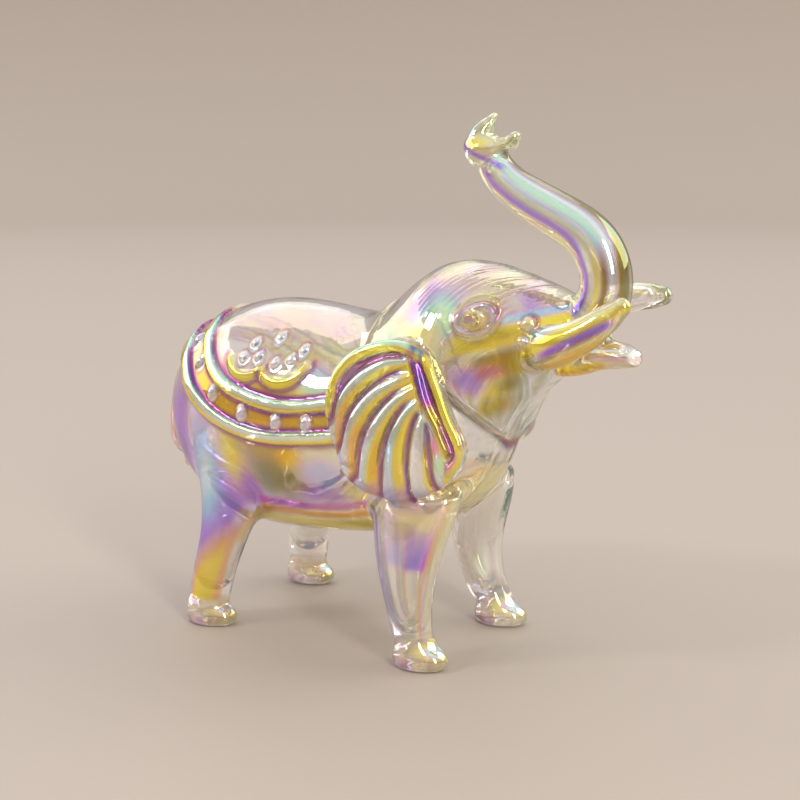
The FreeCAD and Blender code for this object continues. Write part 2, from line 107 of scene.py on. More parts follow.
def voxel_skin(mesh, voxel, smoothing, crumb=None):
    """The skin of everything in the mesh, as quads smoothed for some rounds."""
    holder = bpy.data.objects.new("holder", mesh)
    bpy.context.scene.collection.objects.link(holder)
    remesh = holder.modifiers.new("remesh", "REMESH")
    remesh.mode = "VOXEL"
    remesh.voxel_size = voxel
    smooth = holder.modifiers.new("smooth", "SMOOTH")
    smooth.factor = 0.5
    smooth.iterations = smoothing
    graph = bpy.context.evaluated_depsgraph_get()
    skin = bpy.data.meshes.new_from_object(holder.evaluated_get(graph))
    bpy.data.objects.remove(holder)
    return whole_islands(skin, crumb)


def whole_islands(mesh, crumb):
    """Drops islands with fewer vertices than crumb, or all but the largest when it is None."""
    work = bmesh.new()
    work.from_mesh(mesh)
    work.verts.ensure_lookup_table()
    unseen = set(work.verts)
    islands = []
    while unseen:
        start = unseen.pop()
        island = [start]
        for vert in island:
            for edge in vert.link_edges:
                other = edge.other_vert(vert)
                if other in unseen:
                    unseen.remove(other)
                    island.append(other)
        islands.append(island)
    least = crumb or max(len(island) for island in islands)
    crumbs = [vert for island in islands if len(island) < least for vert in island]
    bmesh.ops.delete(work, geom=crumbs, context="VERTS")
    work.to_mesh(mesh)
    work.free()
    return mesh


def owned(owner, *names):
    """Which points belong to any of the named nodes."""
    return np.isin(owner, [NAMES.index(name) for name in names])


# ---- relief: heights in millimetres over stations in millimetres -----------------------

def stations(points):
    """x from the rear foot line, distance from the middle plane, z, all in millimetres."""
    x = points[:, 0] / MM + MIDDLE
    return x, np.abs(points[:, 1]) / MM, points[:, 2] / MM


def bump_at(distance, width):
    """1 at no distance, falling off smoothly over a width on both sides."""
    return np.exp(-(distance / width) ** 2)


def ramp(value, low, high):
    """0 below low, 1 above high, smooth between."""
    t = np.clip((value - low) / (high - low), 0, 1)
    return t * t * (3 - 2 * t)


def curve(stations_list, count=24):
    """Even stations along a smooth curve through a few stations, as rows of an array."""
    table = np.array(stations_list, float)
    padded = np.vstack([2 * table[0] - table[1], table, 2 * table[-1] - table[-2]])
    rows = []
    for step in np.linspace(0, len(table) - 1, count):
        i = min(int(step), len(table) - 2)
        t = step - i
        a, b, c, d = padded[i:i + 4]
        rows.append(0.5 * (2 * b + (c - a) * t + (2 * a - 5 * b + 4 * c - d) * t * t
                           + (3 * b - a - 3 * c + d) * t ** 3))
    return np.array(rows)


def distance_to(line, x, z):
    """Distance from each station to a polyline of the side view."""
    best = np.full(len(x), 1e9)
    for (x0, z0), (x1, z1) in zip(line[:-1], line[1:]):
        run = (x1 - x0) ** 2 + (z1 - z0) ** 2
        t = np.clip(((x - x0) * (x1 - x0) + (z - z0) * (z1 - z0)) / run, 0, 1)
        gap = (x - x0 - t * (x1 - x0)) ** 2 + (z - z0 - t * (z1 - z0)) ** 2
        best = np.minimum(best, gap)
    return np.sqrt(best)


def side_of(line, x, z):
    """Signed distance from the nearest stretch of a side view line, ahead is positive."""
    best = np.full(len(x), 1e9)
    signed = np.zeros(len(x))
    for (x0, z0), (x1, z1) in zip(line[:-1], line[1:]):
        length = math.hypot(x1 - x0, z1 - z0)
        t = np.clip(((x - x0) * (x1 - x0) + (z - z0) * (z1 - z0)) / length ** 2, 0, 1)
        gap = np.hypot(x - x0 - t * (x1 - x0), z - z0 - t * (z1 - z0))
        ahead = ((x - x0) * (z1 - z0) - (z - z0) * (x1 - x0)) / length
        closer = gap < best
        best = np.where(closer, gap, best)
        signed = np.where(closer, ahead, signed)
    return signed


EAR_LOBES = [              # middle lines of the fluted lobes of the ears
    [(44.6, 53.6), (40.6, 52.8), (36.4, 49.6), (33.4, 45.6), (32.6, 40.6)],
    [(46.4, 51.6), (42.6, 49.8), (38.6, 46.4), (35.9, 41.6), (35.2, 35.6)],
    [(47.6, 49.8), (44.2, 47.4), (41.2, 43.2), (39.4, 38.4), (38.4, 32.6)],
    [(48.4, 47.8), (45.8, 45.0), (44.4, 41.2), (43.8, 36.6), (44.0, 31.6)],
    [(49.4, 46.2), (48.6, 42.8), (48.4, 39.2), (48.6, 35.6), (49.0, 32.8)],
    [(50.4, 44.6), (51.2, 41.8), (52.0, 39.0), (52.4, 36.8), (52.6, 35.4)],
]
EAR_TONGUE = [(45.6, 54.4), (47.4, 50.4), (49.2, 46.6), (51.4, 43.2), (53.4, 39.6)]
EAR_FOLD = [(48.0, 54.2), (50.0, 50.8), (51.8, 47.4), (53.4, 44.2), (55.0, 41.2),
            (55.2, 38.8), (53.8, 36.4)]
EAR_ROLL = [(46.6, 54.8), (43.4, 55.8), (39.6, 55.6), (36.2, 54.4), (33.5, 52.4),
            (32.0, 50.0), (31.4, 47.2), (31.6, 44.0)]
EAR_LINES = EAR_LOBES + [EAR_TONGUE, EAR_FOLD, EAR_ROLL]
TONGUE, FOLD, ROLL = 6, 7, 8           # places of the welts in EAR_LINES
LEFT_SWING = 12.0          # degrees the left ear is swung back about its hinge
LEFT_SHIFT = 2.5           # mm it is set back
FACING_OUT = (0.2, 0.6)    # outward lean of the ear's skin where its relief starts, is full
JAW = [(46.8, 52.2), (49.9, 48.9), (52.4, 46.0), (54.3, 43.4), (55.6, 40.4), (56.0, 36.8)]
EYE = (54.9, 61.0)
EYE_LEAN = 24              # degrees nose up
LID = (3.1, 2.3)           # half length and half height of the almond
BROW = (3.7, 3.4)          # and of the fold over it
DROPS = [(63.2, 60.6, 1.2), (62.4, 57.6, 0.9)]     # beads at a tusk's root: x, z, radius


def unswung(x, z, left):
    """Stations of the left ear as if it hung like the right one."""
    hinge_x, hinge_z = EAR_ROLL[0]
    turn = math.radians(LEFT_SWING)
    u = x + LEFT_SHIFT - hinge_x
    v = z - hinge_z
    straight_x = hinge_x + u * math.cos(turn) - v * math.sin(turn)
    straight_z = hinge_z + v * math.cos(turn) + u * math.sin(turn)
    return np.where(left, straight_x, x), np.where(left, straight_z, z)


def ear_place(x, z, left):
    """Nearest and next nearest line of the ear, signed distance from the nearest, how much
    further the next one is, and the station as if the ear weren't swung."""
    x, z = unswung(x, z, left)
    gaps = []
    signs = []
    for stations_list in EAR_LINES:
        line = curve(stations_list)
        gaps.append(distance_to(line, x, z))
        signs.append(-np.sign(side_of(line, x, z)))
    gaps = np.array(gaps)
    order = np.argsort(gaps, axis=0)
    which, other = order[0], order[1]
    column = np.arange(len(x))
    near = gaps[which, column]
    room = gaps[other, column] - near
    return which, other, near * np.array(signs)[which, column], room, x, z


def valley(which, other, room, width):
    """1 in the valley between two lobes, or between a welt and what lies along it."""
    lobes = (which < TONGUE) & (other < TONGUE)
    welts = (which >= TONGUE) & (other >= TONGUE)
    edge = (which == ROLL) ^ (other == ROLL)
    return (1 - ramp(room, 0.0, width)) * (lobes | welts | edge)


def ear_relief(x, z, left):
    """Grooves between the lobes and welts, fading out where the lobes run together."""
    which, other, beside, room, u, v = ear_place(x, z, left)
    near = np.abs(beside)
    spread = ramp(np.hypot(u - 48.5, v - 50.0), 4.0, 9.0)
    groove = valley(which, other, room, 1.6) * (near < 3.6) * spread
    return -0.45 * groove


def jaw_relief(x, y, z):
    """The cheek overhangs the throat along the jaw line."""
    line = curve(JAW)
    near = distance_to(line, x, z)
    ahead = -side_of(line, x, z)
    lip = 0.75 * np.tanh(ahead / 0.6) * bump_at(near, 4.5)
    crease = -0.35 * bump_at(ahead + 0.5, 0.7) * bump_at(near, 5.0)
    return (lip + crease) * ramp(y, 1.5, 5.0)


def eye_place(x, z):
    """Where a station lies in the eye: along, across, and 1 on the rim of the almond."""
    lean = math.radians(EYE_LEAN)
    along = (x - EYE[0]) * math.cos(lean) + (z - EYE[1]) * math.sin(lean)
    across = (z - EYE[1]) * math.cos(lean) - (x - EYE[0]) * math.sin(lean)
    return along, across, (np.abs(along) / LID[0]) ** 1.6 + (across / LID[1]) ** 2


def eye_relief(x, y, z):
    """A raised almond lid line round a hollow with the pupil standing in it."""
    along, across, almond = eye_place(x, z)
    lid = 0.55 * bump_at(almond - 1.0, 0.2)
    hollow = -0.45 * bump_at(almond - 0.5, 0.25)
    ring = 0.35 * bump_at(np.hypot(along + 0.2, across) - 0.9, 0.35)
    brow = np.hypot(along / BROW[0], across / BROW[1])
    arch = 0.4 * bump_at(brow - 1.0, 0.09) * ramp(across, 0.0, 1.0)
    return (lid + hollow + ring + arch) * ramp(y, 4.0, 7.0)


def wrinkles(x, y, z):
    """Fine slanting wrinkles over the forehead, -1 to 1, and where they lie."""
    wave = np.sin((x * 0.9 + y * 0.55 - z * 0.25) * 6.0 + 1.4 * np.sin(z * 0.8 + y * 0.6))
    patchy = 0.5 + 0.5 * np.sin(x * 1.1 + 2.0 * np.sin(z * 0.9) + y * 0.7)
    where = ramp(z, 59.5, 63.0) * ramp(x, 39.0, 44.0) * (1 - ramp(x, 62.0, 66.0))
    return wave, patchy * where


def brow_relief(x, y, z):
    """The forehead's wrinkles as shallow ridges."""
    wave, where = wrinkles(x, y, z)
    return 0.07 * wave * where


def drop_relief(x, y, z):
    """The beads of clear glass at each tusk's root, each in a shallow ring."""
    height = np.zeros(len(x))
    for cx, cz, radius in DROPS:
        gap = np.hypot(x - cx, z - cz) / radius
        height += 0.75 * radius * np.sqrt(np.clip(1 - gap * gap, 0, 1))
        height -= 0.2 * bump_at(gap - 1.15, 0.12)
    return height * ramp(y, 5.0, 6.5)


# ---- the fused skin -------------------------------------------------------------------

class Web:
    """The neighbours of every vertex, for averaging over the skin."""

    def __init__(self, mesh):
        edges = corners_of(mesh.edges, 2)
        self.here = np.concatenate([edges[:, 0], edges[:, 1]])
        self.there = np.concatenate([edges[:, 1], edges[:, 0]])
        self.count = len(mesh.vertices)
        self.degree = np.maximum(np.bincount(self.here, minlength=self.count), 1)

    def average(self, values):
        if values.ndim == 1:
            total = np.bincount(self.here, values[self.there], self.count)
            return total / self.degree
        return np.stack([self.average(column) for column in values.T], axis=1)

    def blurred(self, values, rounds):
        for _ in range(rounds):
            values = self.average(values)
        return values

    def melted(self, points, rounds, amount):
        """Draws each moving point towards its neighbours, a share of the way each round."""
        moving = np.flatnonzero(amount > 0)
        place = np.full(self.count, -1)
        place[moving] = np.arange(len(moving))
        chosen = place[self.here] >= 0
        here = place[self.here[chosen]]
        there = self.there[chosen]
        degree = self.degree[moving]
        share = amount[moving]
        points = points.copy()
        for _ in range(rounds):
            for axis in range(3):
                column = points[:, axis]
                mean = np.bincount(here, column[there], len(moving)) / degree
                column[moving] += (mean - column[moving]) * share
        return points


MELT_CORE = 0.35           # share of the highest melt that already counts as full
MELT_END = 0.02            # where the melt ends
FLOW = 0.6                 # share of the way a point moves to its neighbours in a round
UNMELTED = 2.4             # how far round the bead above a tusk's root nothing melts
CALF = 12.0                # height under which a leg's wide fillet ends
SOFT_WELDS = {             # how long the glass flows where a piece is welded on, in rounds
    "leg": 160,
    "foot": 12,
    "trunk": 50,
    "tusk": 12,
    "lip": 16,
    "tail": 8,
}


def melt_welds(mesh, owner, web):
    """Lets the glass flow together where drawn pieces are welded to the bubble."""
    points = points_of(mesh)
    x, _, z = stations(points)
    for word, rounds in SOFT_WELDS.items():
        mine = np.array([word in name for name in NAMES])[owner]
        border = mine[web.here] != mine[web.there]
        seam = np.zeros(len(points))
        seam[web.here[border]] = 1.0
        spread = web.blurred(seam, rounds * 2)
        spread = np.clip(spread / (MELT_CORE * spread.max()), 0, 1)
        near = spread > MELT_END
        near &= ~owned(owner, "left_eye", "right_eye")
        near &= np.hypot(x - DROPS[0][0], z - DROPS[0][1]) > UNMELTED
        if word == "leg":
            near &= z > CALF
        points = web.melted(points, rounds, np.where(near, FLOW * spread, 0.0))
    set_points(mesh, points)


def raise_relief(mesh, owner, everywhere):
    """Moves vertices along their normals by the relief of the piece that owns them, or all
    of them by the jaw's relief alone."""
    points = points_of(mesh)
    normals = normals_of(mesh)
    x, y, z = stations(points)
    lift = np.zeros(len(points))
    if everywhere:
        lift += jaw_relief(x, y, z)
    else:
        head = owned(owner, "head_bulb", "torso_bulb")
        eyes = owned(owner, "left_eye", "right_eye")
        lift += jaw_relief(x, y, z) * head
        lift += eye_relief(x, y, z) * (head | eyes)
        lift += brow_relief(x, y, z) * head
        tusks = owned(owner, "left_tusk", "right_tusk")
        lift += drop_relief(x, y, z) * (head | tusks) * (points[:, 1] < 0)
        facing = np.sign(points[:, 1]) * normals[:, 1]
        ear = owned(owner, "left_ear", "right_ear")
        ear &= facing > FACING_OUT[0]
        left = points[ear, 1] > 0
        lift[ear] += ear_relief(x[ear], z[ear], left) * ramp(facing[ear], *FACING_OUT)
    set_points(mesh, points + normals * (lift * MM)[:, None])
    return mesh


def owners(points, source):
    """Index of the CAD node nearest to each point."""
    found = np.empty(len(points), np.int32)
    for i, point in enumerate(points):
        found[i] = source["owner"][source["tree"].find_nearest(point)[2]]
    return found


def owner_tree():
    """A search tree over every CAD solid that knows which node a face belongs to."""
    points = []
    faces = []
    owner = []
    for index, name in enumerate(NAMES):
        mesh = NODES[name].data
        base = len(points)
        points += [tuple(p) for p in points_of(mesh)]
        for polygon in mesh.polygons:
            faces.append([base + v for v in polygon.vertices])
            owner.append(index)
    return {"tree": BVHTree.FromPolygons(points, faces), "owner": owner}


# ---- skins and walls ----------------------------------------------------------------

ANKLE = 5.0                # mm, where a leg tube sits on its foot
LEG_BORE_START = 1.6       # mm from the ankle up to the bore's end
TRUNK_RADIUS = 4.0         # mm, about the middle of its length
LEGS = {                   # x, side distance, z, half length, half width, ankle to hip, mm
    "rear_right_leg": [
        (-0.1, 15.2, ANKLE, 4.0, 3.6), (0.7, 15.1, 9.0, 4.2, 3.7), (2.1, 14.9, 13.5, 4.4, 4.0),
        (3.6, 14.3, 18.5, 5.1, 4.6), (4.6, 13.4, 24.0, 6.8, 5.3), (5.0, 12.4, 30.0, 8.4, 5.8),
    ],
    "rear_left_leg": [
        (0.4, 15.2, ANKLE, 3.8, 3.5), (0.4, 15.1, 9.0, 4.3, 3.8), (1.2, 14.9, 13.5, 4.7, 4.1),
        (2.8, 14.3, 18.5, 5.2, 4.6), (4.2, 13.4, 24.0, 6.4, 5.2), (5.0, 12.4, 30.0, 7.6, 5.6),
    ],
    "front_right_leg": [
        (44.2, 14.0, ANKLE, 3.6, 3.5), (43.4, 14.0, 9.5, 4.0, 3.8), (43.0, 13.9, 15.0, 5.0, 4.5),
        (42.9, 13.4, 20.0, 6.2, 5.1), (43.0, 12.4, 25.5, 7.8, 5.5), (43.2, 11.0, 31.0, 9.0, 5.6),
    ],
    "front_left_leg": [
        (43.6, 14.0, ANKLE, 3.9, 3.6), (41.6, 14.0, 9.5, 4.2, 3.9), (40.6, 13.9, 15.0, 4.8, 4.4),
        (41.0, 13.4, 20.0, 5.5, 4.9), (42.0, 12.4, 25.5, 6.3, 5.2), (43.0, 11.0, 31.0, 6.6, 5.0),
    ],
}
TRUNK = [                  # x, z, radius along the middle plane, from the face to the tip, mm
    (66.0, 57.6, 3.6), (70.0, 61.0, 4.3), (72.4, 65.6, 4.4), (71.9, 70.2, 4.3),
    (68.7, 74.6, 4.1), (63.2, 77.6, 3.9), (57.8, 80.2, 3.6), (53.5, 83.0, 3.2),
    (50.9, 86.4, 2.9),
]
RIGHT_TUSK = [             # x, y, z, half width, half height, root to tip, mm
    (62.6, -7.2, 55.6, 2.4, 3.2), (66.0, -8.4, 56.6, 2.9, 3.6), (70.0, -8.9, 58.0, 2.9, 3.3),
    (74.0, -8.8, 60.2, 2.5, 2.8), (77.6, -8.3, 63.0, 1.9, 2.1),
]
LEFT_TUSK = [
    (62.6, 7.2, 57.4, 2.4, 3.0), (66.0, 8.4, 60.2, 2.8, 3.0), (70.0, 8.9, 62.7, 2.7, 2.7),
    (74.0, 8.8, 63.9, 2.4, 2.4), (77.6, 8.3, 64.2, 1.9, 2.0),
]


def domed_bore(table, wall, side, around=40, along=44):
    """A closed bore along (x, y, z, half width, half height), with rounded ends, in mm."""
    rows = curve(table, along)
    path = rows[:, :3]
    sizes = np.maximum(rows[:, 3:5] - wall, 0.3)
    run = np.concatenate([[0], np.cumsum(np.linalg.norm(np.diff(path, axis=0), axis=1))])
    dome = sizes.min(axis=1).mean() * 1.2
    to_end = np.minimum(run, run[-1] - run)
    pull = np.sqrt(np.clip(1 - (1 - np.clip(to_end / dome, 0, 1)) ** 2, 0.003, 1))
    sizes = sizes * pull[:, None]
    forward = np.gradient(path, axis=0)
    forward /= np.linalg.norm(forward, axis=1)[:, None]
    side = np.array(side, float)
    wide = side - forward * (forward @ side)[:, None]
    wide /= np.linalg.norm(wide, axis=1)[:, None]
    high = np.cross(forward, wide)
    turn = np.linspace(0, 2 * math.pi, around, endpoint=False)
    rings = (path[:, None] + wide[:, None] * (sizes[:, :1, None] * np.cos(turn)[None, :, None])
             + high[:, None] * (sizes[:, 1:, None] * np.sin(turn)[None, :, None]))
    points = rings.reshape(-1, 3)
    ends = np.vstack([path[0], path[-1]])
    points = np.vstack([points, ends])
    faces = []
    for i in range(along - 1):
        for j in range(around):
            k = (j + 1) % around
            faces.append((i * around + j, i * around + k, (i + 1) * around + k,
                          (i + 1) * around + j))
    first = along * around
    for j in range(around):
        k = (j + 1) % around
        faces.append((first, k, j))
        faces.append((first + 1, (along - 1) * around + j, (along - 1) * around + k))
    return points, faces


def bore_into(work, points, faces):
    """Adds a bore given in millimetres to a gathering mesh."""
    metres = points * MM
    metres[:, 0] -= MIDDLE * MM
    verts = [work.verts.new(p) for p in metres]
    for face in faces:
        work.faces.new([verts[v] for v in face])


def hollow_mesh():
    """The inner wall: one cavity through the bubble, the legs and the trunk, and the tusks."""
    body = voxel_skin(merged(["torso_bulb", "head_bulb"]), BODY_VOXEL, 14)
    raise_relief(body, None, everywhere=True)
    set_points(body, points_of(body) - normals_of(body) * WALL["bubble"])
    work = bmesh.new()
    work.from_mesh(body)
    for name, table in LEGS.items():
        side = -1 if "right" in name else 1
        levels = [[x, side * y, z, long, wide] for x, y, z, long, wide in table]
        levels[0][2] += LEG_BORE_START
        bore_into(work, *domed_bore(levels, WALL["leg"] / MM, (1, 0, 0)))
    trunk = [(x, 0, z, radius, radius) for x, z, radius in TRUNK]
    bore_into(work, *domed_bore(trunk, WALL["trunk"] / MM, (0, 1, 0), along=80))
    for tusk in (LEFT_TUSK, RIGHT_TUSK):
        bore_into(work, *domed_bore(tusk, WALL["tusk"] / MM, (0, 1, 0)))
    bmesh.ops.recalc_face_normals(work, faces=work.faces)
    mesh = bpy.data.meshes.new("hollow")
    work.to_mesh(mesh)
    work.free()
    return voxel_skin(mesh, WALL_VOXEL, 16, crumb=200)


def build_pieces():
    """Shares the fused skin and the inner wall out to one mesh per CAD node."""
    source = owner_tree()
    skin = voxel_skin(merged(NAMES), VOXEL, 2)
    owner = owners(points_of(skin), source)
    web = Web(skin)
    melt_welds(skin, owner, web)
    raise_relief(skin, owner, everywhere=False)
    points = points_of(skin)
    normals = normals_of(skin)
    coat = lustre(points, normals, owner, web)
    quads = quads_of(skin)
    face_owner = owner[quads[:, 0]]
    shares = {name: [] for name in NAMES}
    for index, name in enumerate(NAMES):
        shares[name].append((points, normals, quads[face_owner == index], 0, coat))

    hollow = hollow_mesh()
    points = points_of(hollow)
    quads = quads_of(hollow)[:, ::-1]
    face_owner = owners(points, source)[quads[:, 0]]
    plain = np.zeros((len(points), len(TONES["clear"])))
    for index, name in enumerate(NAMES):
        mine = quads[face_owner == index]
        if len(mine):
            shares[name].append((points, -normals_of(hollow), mine, 1, plain))
    return shares


def piece_from(name, parts):
    """One object from its share of the skin (slot 0) and of the inner wall (slot 1)."""
    points_list = []
    normals_list = []
    coats = []
    faces_list = []
    slots = []
    base = 0
    for points, normals, quads, slot, coat in parts:
        used, compact = np.unique(quads, return_inverse=True)
        points_list.append(points[used])
        normals_list.append(normals[used])
        coats.append(coat[used])
        faces_list.append(compact.reshape(-1, 4) + base)
        slots.append(np.full(len(quads), slot, np.int32))
        base += len(used)
    mesh = bpy.data.meshes.new(name + "_glass")
    mesh.from_pydata(np.vstack(points_list).tolist(), [], np.vstack(faces_list).tolist())
    mesh.polygons.foreach_set("material_index", np.concatenate(slots))
    mesh.polygons.foreach_set("use_smooth", [True] * len(mesh.polygons))
    coat = np.vstack(coats).astype(np.float32)
    tone = mesh.attributes.new("tone", "FLOAT_COLOR", "POINT")
    rgba = np.ones((base, 4), np.float32)
    rgba[:, :3] = coat[:, :3]
    tone.data.foreach_set("color", rgba.ravel())
    layers = {"film": coat[:, 3], "veil": coat[:, 4], "clearness": 1 - coat[:, 5]}
    for label, values in layers.items():
        layer = mesh.attributes.new(label, "FLOAT", "POINT")
        layer.data.foreach_set("value", np.ascontiguousarray(values))
    mesh.normals_split_custom_set_from_vertices(np.vstack(normals_list).tolist())
    piece = bpy.data.objects.new(name + "_glass", mesh)
    bpy.context.scene.collection.objects.link(piece)
    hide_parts(name)
    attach(piece, "root")
    return piece


# ---- lustre: colour of the coat, painted shade, highlights and refraction included, and its film thickness in nanometres ---

TONES = {                  # linear colour, film thickness, veil and haze: how strongly the
                           # coat mirrors, and how much light it scatters
    "clear": (1.00, 0.99, 0.95, 190, 0.04, 0.0),
    "cream": (1.00, 0.95, 0.66, 205, 0.28, 0.20),
    # pearl and white are also laid as painted highlight and painted sheen, where marked below.
    "pearl": (1.00, 0.98, 0.97, 120, 0.42, 0.10),
    "white": (0.97, 0.98, 1.00, 340, 0.55, 0.35),
    "lemon": (1.00, 0.86, 0.08, 217, 0.42, 0.38),
    "gold": (0.95, 0.58, 0.02, 226, 0.42, 0.34),
    "orange": (1.00, 0.46, 0.10, 235, 0.42, 0.20),
    "rose": (1.00, 0.26, 0.46, 246, 0.42, 0.20),
    "magenta": (0.74, 0.16, 0.66, 256, 0.42, 0.18),
    "violet": (0.40, 0.20, 0.86, 272, 0.42, 0.18),
    "lilac": (0.68, 0.62, 0.96, 285, 0.36, 0.14),
    "blue": (0.56, 0.78, 1.00, 300, 0.44, 0.22),
    "mint": (0.66, 0.97, 0.70, 328, 0.36, 0.30),
    # The next tone is painted shade: near-black, laid in grooves, creases and hollows and at the
    # feet of raised lines.
    "mauve": (0.10, 0.022, 0.036, 250, 0.03, 0.14),
    # The next tone is painted refraction: dark brown standing for a dark surround seen through
    # the glass.
    "brown": (0.17, 0.060, 0.012, 200, 0.03, 0.34),
    "olive": (0.42, 0.29, 0.02, 210, 0.12, 0.16),
}


class Coat:
    """Layers of tone over the skin, each laid with a weight from 0 to 1."""

    def __init__(self, count, tone):
        self.values = np.tile(np.array(TONES[tone], float), (count, 1))

    def lay(self, weight, tone, strength=1.0):
        weight = np.clip(weight * strength, 0, 1)[:, None]
        self.values += (np.array(TONES[tone], float) - self.values) * weight


def spot(x, z, cx, cz, rx, rz, lean=0.0):
    """1 at a centre of the side view, falling to about 0.3 on the ellipse round it."""
    turn = math.radians(lean)
    u = ((x - cx) * math.cos(turn) + (z - cz) * math.sin(turn)) / rx
    v = ((z - cz) * math.cos(turn) - (x - cx) * math.sin(turn)) / rz
    return np.exp(-((u * u + v * v) ** 1.5) * 1.2)


def lay_spots(coat, where, spots, x, z):
    """Lays each spot of a table: tone, strength, centre, reach along x and z, lean."""
    for tone, strength, cx, cz, rx, rz, lean in spots:
        coat.lay(where * spot(x, z, cx, cz, rx, rz, lean), tone, strength)


def stripe(value, low, high, soft):
    """1 between low and high, with soft edges."""
    return ramp(value, low - soft, low + soft) * (1 - ramp(value, high - soft, high + soft))


BEADS = [(-5.0, 52.0), (-1.2, 49.0), (4.0, 44.4), (11.4, 41.6), (19.0, 40.9), (25.4, 41.4)]
MEDALLION_BEADS = [(9.4, 50.8), (12.8, 51.2), (10.8, 53.2), (16.6, 50.4), (19.6, 51.2),
                   (21.4, 52.8), (15.4, 54.4)]
SCROLLS = [
    [(6.4, 50.6), (8.2, 48.6), (11.4, 48.0), (13.8, 49.6)],
    [(14.8, 48.6), (17.4, 47.4), (20.8, 48.0), (23.2, 50.6)],
]
BRAID = [(-3.6, 55.7), (-1.4, 52.7), (2.6, 48.6), (7.5, 45.9), (12.5, 44.5), (18.4, 43.7),
         (24.0, 44.1), (29.0, 45.0), (34.0, 47.0)]
EDGE = [(-10.2, 53.1), (-6.3, 48.8), (-1.9, 44.2), (3.9, 40.8), (10.0, 38.8), (17.0, 38.0),
        (24.0, 38.6), (30.0, 39.4), (34.4, 41.2)]


RIM_STEPS = 30             # how finely the long lines are followed

# Spots of lustre, painted highlight and painted refraction: tone, strength, x, z, reach along x,
# reach along z, lean in degrees.
FLANK_SPOTS = [
    # The blue spot with its white core at the rump is a painted highlight.
    ("blue", 1.0, 1.2, 30.0, 4.6, 11.0, 6),
    ("white", 0.7, 1.2, 29.0, 2.4, 5.0, 0),
    # Painted refraction: dark brown where a dark surround shows through the flank.
    ("brown", 1.0, 17.5, 31.5, 8.5, 7.5, 0),
    ("lemon", 1.0, 8.4, 34.0, 3.2, 6.4, 12),
    ("olive", 0.9, 15.5, 36.0, 7.5, 2.6, 0),
    ("gold", 1.0, 21.4, 34.9, 3.4, 2.6, 0),
    ("violet", 0.7, 11.6, 28.2, 2.0, 4.4, 22),
    ("cream", 1.0, 28.6, 36.0, 3.8, 3.8, 0),
    ("lilac", 1.0, 28.0, 32.2, 4.8, 3.4, 0),
    ("violet", 0.8, 27.6, 28.2, 6.0, 2.2, 0),
]
CROWN_SPOTS = [
    ("violet", 0.45, 45.5, 63.5, 4.2, 3.4, 30),
    ("mint", 0.9, 48.5, 60.5, 4.8, 4.4, 40),
    ("lemon", 0.75, 46.4, 57.8, 4.4, 3.4, 30),
    ("violet", 0.4, 62.4, 63.8, 2.4, 1.4, -30),
    ("cream", 1.0, 49.8, 53.6, 2.8, 3.2, 0),
]
CHEEK_SPOTS = [
    ("olive", 1.0, 60.6, 53.4, 4.2, 2.6, 20),
    ("violet", 0.8, 54.0, 50.6, 3.4, 2.4, -45),
    ("rose", 0.5, 57.4, 52.3, 2.2, 1.6, 0),
    ("lemon", 0.95, 58.0, 49.2, 3.0, 1.5, 40),
    # Painted refraction: dark brown on the lower cheek.
    ("brown", 1.0, 59.6, 50.2, 2.4, 1.3, 40),
    ("olive", 1.0, 57.0, 46.2, 3.6, 1.8, 40),
]
CLOTH_SPOTS = [
    ("gold", 0.7, 17.0, 46.4, 6.0, 1.8, 0),
    ("mint", 0.8, 26.0, 49.0, 4.5, 3.2, 0),
    ("blue", 0.4, 12.0, 51.0, 8.0, 3.0, 0),
    ("mint", 0.6, 4.5, 52.5, 4.5, 3.5, 0),
]
# Bands along the trunk, painted highlight and painted refraction among them: tone, strength, from
# and to in degrees round it, softness, where.
TRUNK_BANDS = [
    ("violet", 1.0, -35, -16, 3, "everywhere"),
    ("mint", 0.5, -14, -3, 3, "everywhere"),
    ("lemon", 0.8, 0, 13, 3, "rising"),
    # Painted refraction: dark brown on the rising part.
    ("brown", 1.0, 16, 30, 3, "rising"),
    ("pearl", 0.8, -4, 34, 5, "leaning"),
    ("mint", 0.85, 10, 32, 5, "leaning"),
    # Painted highlight: a white strip along the trunk.
    ("white", 1.0, 34, 44, 2, "everywhere"),
    ("lilac", 0.8, 44, 54, 3, "everywhere"),
    # Painted refraction: dark brown down the far side of the trunk.
    ("brown", 1.0, 55, 86, 4, "everywhere"),
]
TRUNK_TURN = 14            # degrees the bands turn round the trunk where it leans back


